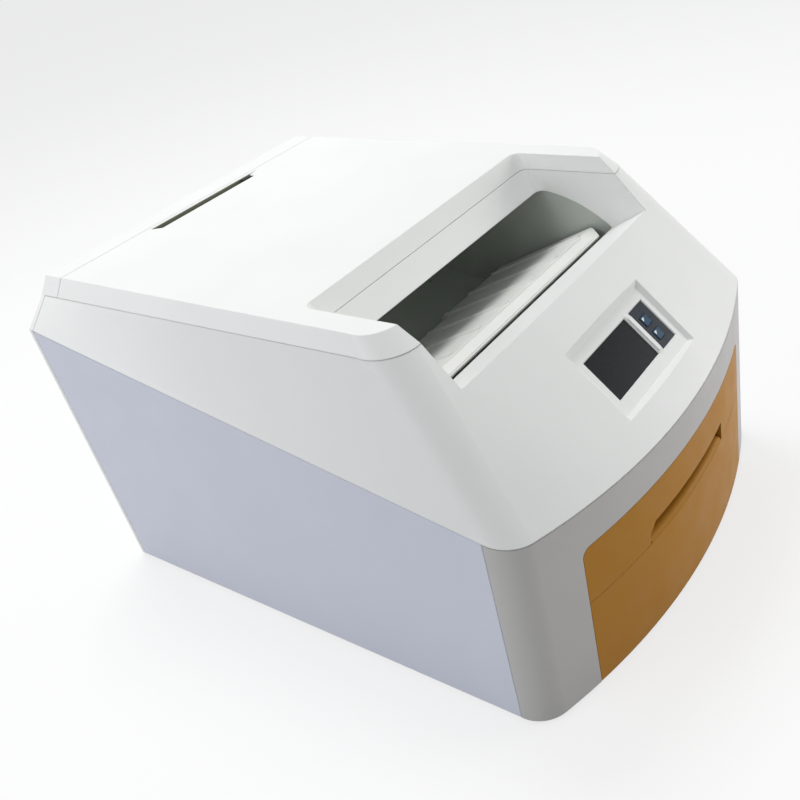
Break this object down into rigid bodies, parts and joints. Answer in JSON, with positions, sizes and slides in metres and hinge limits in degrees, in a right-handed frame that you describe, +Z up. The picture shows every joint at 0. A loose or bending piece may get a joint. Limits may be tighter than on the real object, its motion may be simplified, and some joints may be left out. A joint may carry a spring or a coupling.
{
  "type": "x-ray dry film printer",
  "caption": "Desktop dry film printer: sloping hood with outlet recess and screen, hinged lid, sliding film drawer, roller transport and thermal head inside a white cabinet.",
  "frame": {"origin": "on the floor under the middle of the cabinet's width and depth", "axes": "+X to the right seen from the front, +Y to the rear, +Z up; the curved front with the drawer faces -Y"},
  "size_m": [0.55, 0.712, 0.416],
  "materials": {
    "cover_white": "fine satin",
    "panel_white": "fine powder coat",
    "front_grey": "fine satin",
    "orange": "fine satin",
    "steel": "zinc plated sheet",
    "rubber_dark": "matt",
    "rubber_grey": "matt",
    "plastic_dark": "matt",
    "bin_green_grey": "matt",
    "ramp_cream": "satin",
    "olive": "matt",
    "screen_dark": "gloss",
    "strip_dark": "satin film",
    "key_blue": "satin",
    "aluminium": "extruded",
    "board_green": "solder mask",
    "tray_grey": "satin"
  },
  "bodies": {
    "cabinet": {"base_pan": "steel", "feet": "rubber_dark", "side_panel_left": "panel_white", "side_panel_right": "panel_white", "front_cover": "front_grey", "upper_fascia": "orange", "hood": "cover_white", "rear_cover": "cover_white", "cover_screws": "steel", "lcd_window": "screen_dark", "lcd_module": "board_green", "key_strip": "strip_dark", "chassis_plate_left": "steel", "chassis_plate_right": "steel", "shaft_bushes": "plastic_dark", "timing_belt": "rubber_dark", "drive_motor": "plastic_dark", "film_guide_inner": "steel", "film_guide_outer": "steel", "print_head": "plastic_dark", "heat_sink": "aluminium", "top_crossbar": "steel", "front_crossbar": "steel", "deck_plate": "steel", "power_supply": "steel", "main_board": "board_green", "output_bin": "bin_green_grey", "output_ramp": "ramp_cream", "slide_outer_left": "steel", "slide_outer_right": "steel", "power_inlet": "plastic_dark", "rocker_frame": "plastic_dark", "network_port": "steel", "fan_frame": "plastic_dark", "hinge_pins": "steel"},
    "lid": {"lid": "cover_white", "notch_liner": "olive", "hinge_arm_left": "steel", "hinge_arm_right": "steel"},
    "lock_lever": {"lid_lock_lever": "plastic_dark"},
    "drawer": {"drawer_front": "orange", "film_tray": "tray_grey", "slide_inner_left": "steel", "slide_inner_right": "steel"},
    "slide_middle": {"slide_middle_left": "steel", "slide_middle_right": "steel"},
    "key_upper": {"key_upper": "key_blue"},
    "key_lower": {"key_lower": "key_blue"},
    "pickup_arm": {"pickup_arm": "steel"},
    "pickup_roller": {"pickup_roller": "rubber_dark"},
    "motor_pulley": {"motor_pulley": "aluminium"},
    "fan_rotor": {"fan_rotor": "plastic_dark"},
    "power_rocker": {"power_rocker": "plastic_dark"},
    "feed_roller": {"feed_roller": "rubber_grey"},
    "feed_idler": {"feed_idler": "rubber_grey"},
    "lift_roller": {"lift_roller": "rubber_grey"},
    "lift_idler": {"lift_idler": "rubber_grey"},
    "platen_roller": {"platen_roller": "rubber_dark"},
    "exit_roller": {"exit_roller": "rubber_grey"},
    "exit_idler": {"exit_idler": "rubber_grey"}
  },
  "joints": [
    {"name": "drawer_slide", "type": "slide", "parent": "cabinet", "child": "drawer", "axis": [0, -1, 0], "range_m": [0, 0.43]},
    {"name": "slide_middle_travel", "type": "slide", "parent": "cabinet", "child": "slide_middle", "axis": [0, -1, 0], "range_m": [0, 0.215]},
    {"name": "lid_hinge", "type": "hinge", "parent": "cabinet", "child": "lid", "pos_m": [0, -0.193, 0.359], "axis": [1, 0, 0], "range_deg": [0, 55]},
    {"name": "lock_lever_turn", "type": "hinge", "parent": "lid", "child": "lock_lever", "pos_m": [0.074, 0.3075, 0.397], "axis": [1, 0, 0], "range_deg": [0, 12]},
    {"name": "key_upper_press", "type": "slide", "parent": "cabinet", "child": "key_upper", "axis": [0, 0.702, -0.7122], "range_m": [0, 0.0012], "stiffness_N_per_m": 400, "springref_m": -0.0008},
    {"name": "key_lower_press", "type": "slide", "parent": "cabinet", "child": "key_lower", "axis": [0, 0.702, -0.7122], "range_m": [0, 0.0012], "stiffness_N_per_m": 400, "springref_m": -0.0008},
    {"name": "pickup_arm_swing", "type": "hinge", "parent": "cabinet", "child": "pickup_arm", "pos_m": [0, 0.175, 0.128], "axis": [1, 0, 0], "range_deg": [0, 28]},
    {"name": "pickup_roller_spin", "type": "hinge", "parent": "pickup_arm", "child": "pickup_roller", "pos_m": [0, 0.104, 0.112], "axis": [1, 0, 0], "continuous": true},
    {"name": "motor_spin", "type": "hinge", "parent": "cabinet", "child": "motor_pulley", "pos_m": [0.2, 0.15, 0.215], "axis": [1, 0, 0], "continuous": true},
    {"name": "fan_spin", "type": "hinge", "parent": "cabinet", "child": "fan_rotor", "pos_m": [0.12, 0.345, 0.205], "axis": [0, 1, 0], "continuous": true},
    {"name": "power_rocker_tilt", "type": "hinge", "parent": "cabinet", "child": "power_rocker", "pos_m": [-0.128, 0.349, 0.062], "axis": [1, 0, 0], "range_deg": [0, 16]},
    {"name": "feed_roller_spin", "type": "hinge", "parent": "cabinet", "child": "feed_roller", "pos_m": [0, 0.205, 0.1212], "axis": [1, 0, 0], "continuous": true},
    {"name": "feed_idler_spin", "type": "hinge", "parent": "cabinet", "child": "feed_idler", "pos_m": [0, 0.205, 0.1008], "axis": [1, 0, 0], "continuous": true},
    {"name": "lift_roller_spin", "type": "hinge", "parent": "cabinet", "child": "lift_roller", "pos_m": [0, 0.275, 0.215], "axis": [1, 0, 0], "continuous": true},
    {"name": "lift_idler_spin", "type": "hinge", "parent": "cabinet", "child": "lift_idler", "pos_m": [0, 0.2954, 0.215], "axis": [1, 0, 0], "continuous": true},
    {"name": "platen_roller_spin", "type": "hinge", "parent": "cabinet", "child": "platen_roller", "pos_m": [0, 0.2718, 0.29], "axis": [1, 0, 0], "continuous": true},
    {"name": "exit_roller_spin", "type": "hinge", "parent": "cabinet", "child": "exit_roller", "pos_m": [0, 0.228, 0.3322], "axis": [1, 0, 0], "continuous": true},
    {"name": "exit_idler_spin", "type": "hinge", "parent": "cabinet", "child": "exit_idler", "pos_m": [0, 0.228, 0.3508], "axis": [1, 0, 0], "continuous": true}
  ],
  "couplings": [
    {"joint": "slide_middle_travel", "follows": "drawer_slide", "ratio": 0.5},
    {"joint": "feed_roller_spin", "follows": "platen_roller_spin", "ratio": 1.4},
    {"joint": "feed_idler_spin", "follows": "platen_roller_spin", "ratio": -1.4},
    {"joint": "lift_roller_spin", "follows": "platen_roller_spin", "ratio": 1.4},
    {"joint": "lift_idler_spin", "follows": "platen_roller_spin", "ratio": -1.4},
    {"joint": "exit_roller_spin", "follows": "platen_roller_spin", "ratio": 1.5556},
    {"joint": "exit_idler_spin", "follows": "platen_roller_spin", "ratio": -1.5556},
    {"joint": "pickup_roller_spin", "follows": "platen_roller_spin", "ratio": 1.1667},
    {"joint": "motor_spin", "follows": "platen_roller_spin", "ratio": 1.96}
  ]
}
